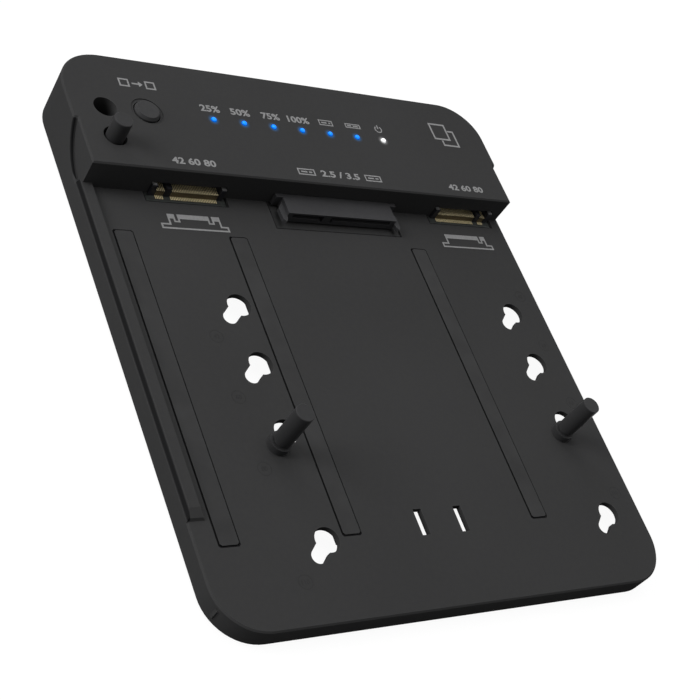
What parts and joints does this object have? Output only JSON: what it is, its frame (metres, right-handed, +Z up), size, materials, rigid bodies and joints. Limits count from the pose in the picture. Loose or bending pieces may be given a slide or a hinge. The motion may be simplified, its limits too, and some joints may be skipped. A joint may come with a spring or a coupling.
{
  "type": "drive duplicator",
  "caption": "Flat docking plate that copies one storage drive to another: module sockets and a drive receptacle on a rear housing, keyhole posts, grip strips, a key and a row of lights.",
  "frame": {"origin": "middle of the case on the surface that the feet rest on", "axes": "+X to the right, +Y to the rear housing, +Z up"},
  "size_m": [0.141, 0.1634, 0.022],
  "materials": {
    "case_plastic": "fine matt grain",
    "cover_plastic": "fine matt grain",
    "post_plastic": "satin",
    "strip_rubber": "matt",
    "foot_rubber": "matt",
    "socket_plastic": "satin",
    "contact_gold": "gold plated",
    "tinned_steel": "tinned",
    "board_laminate": "lacquered",
    "key_plastic": "satin",
    "switch_plastic": "matt",
    "light_blue": "clear",
    "light_clear": "clear",
    "chip_plastic": "matt",
    "can_aluminium": "satin",
    "screw_steel": "black zinc"
  },
  "bodies": {
    "dock": {"top_cover": "case_plastic", "lower_cover": "cover_plastic", "main_board": "board_laminate", "grip_strip_left": "strip_rubber", "grip_strip_middle": "strip_rubber", "grip_strip_right": "strip_rubber", "front_feet": "foot_rubber", "rear_feet": "foot_rubber", "module_socket_left": "socket_plastic", "module_socket_right": "socket_plastic", "module_contacts_left": "contact_gold", "module_contacts_right": "contact_gold", "socket_hold_downs": "tinned_steel", "drive_receptacle": "socket_plastic", "receptacle_blades": "contact_gold", "clone_switch": "switch_plastic", "light_guides_blue": "light_blue", "light_guide_white": "light_clear", "light_chips": "light_clear", "usb_shell": "tinned_steel", "usb_tongue": "socket_plastic", "power_jack": "socket_plastic", "power_jack_pin": "tinned_steel", "power_switch_body": "switch_plastic", "copy_controller": "chip_plastic", "bridge_controller": "chip_plastic", "flash_memory": "chip_plastic", "crystal": "tinned_steel", "power_inductors": "chip_plastic", "filter_capacitors": "can_aluminium", "case_screws": "screw_steel", "board_screws": "screw_steel"},
    "clone_key": {"clone_key": "key_plastic", "clone_plunger": "switch_plastic"},
    "post_left": {"post_left": "post_plastic"},
    "post_right": {"post_right": "post_plastic"},
    "post_spare": {"post_spare": "post_plastic"},
    "power_rocker": {"power_rocker": "key_plastic"}
  },
  "joints": [
    {"name": "clone_key_press", "type": "slide", "parent": "dock", "child": "clone_key", "axis": [0, 0, -1], "range_m": [0, 0.001], "stiffness_N_per_m": 400, "springref_m": -0.001},
    {"name": "post_left_slide", "type": "slide", "parent": "dock", "child": "post_left", "axis": [0.7071, 0.7071, 0], "range_m": [0, 0.00566]},
    {"name": "post_right_slide", "type": "slide", "parent": "dock", "child": "post_right", "axis": [0.7071, 0.7071, 0], "range_m": [0, 0.00566]},
    {"name": "post_spare_lift", "type": "slide", "parent": "dock", "child": "post_spare", "axis": [0, 0, 1], "range_m": [0, 0.012]},
    {"name": "power_rocker_tilt", "type": "hinge", "parent": "dock", "child": "power_rocker", "pos_m": [0.017, 0.07835, 0.0088], "axis": [0, 0, 1], "range_deg": [0, 14]}
  ]
}
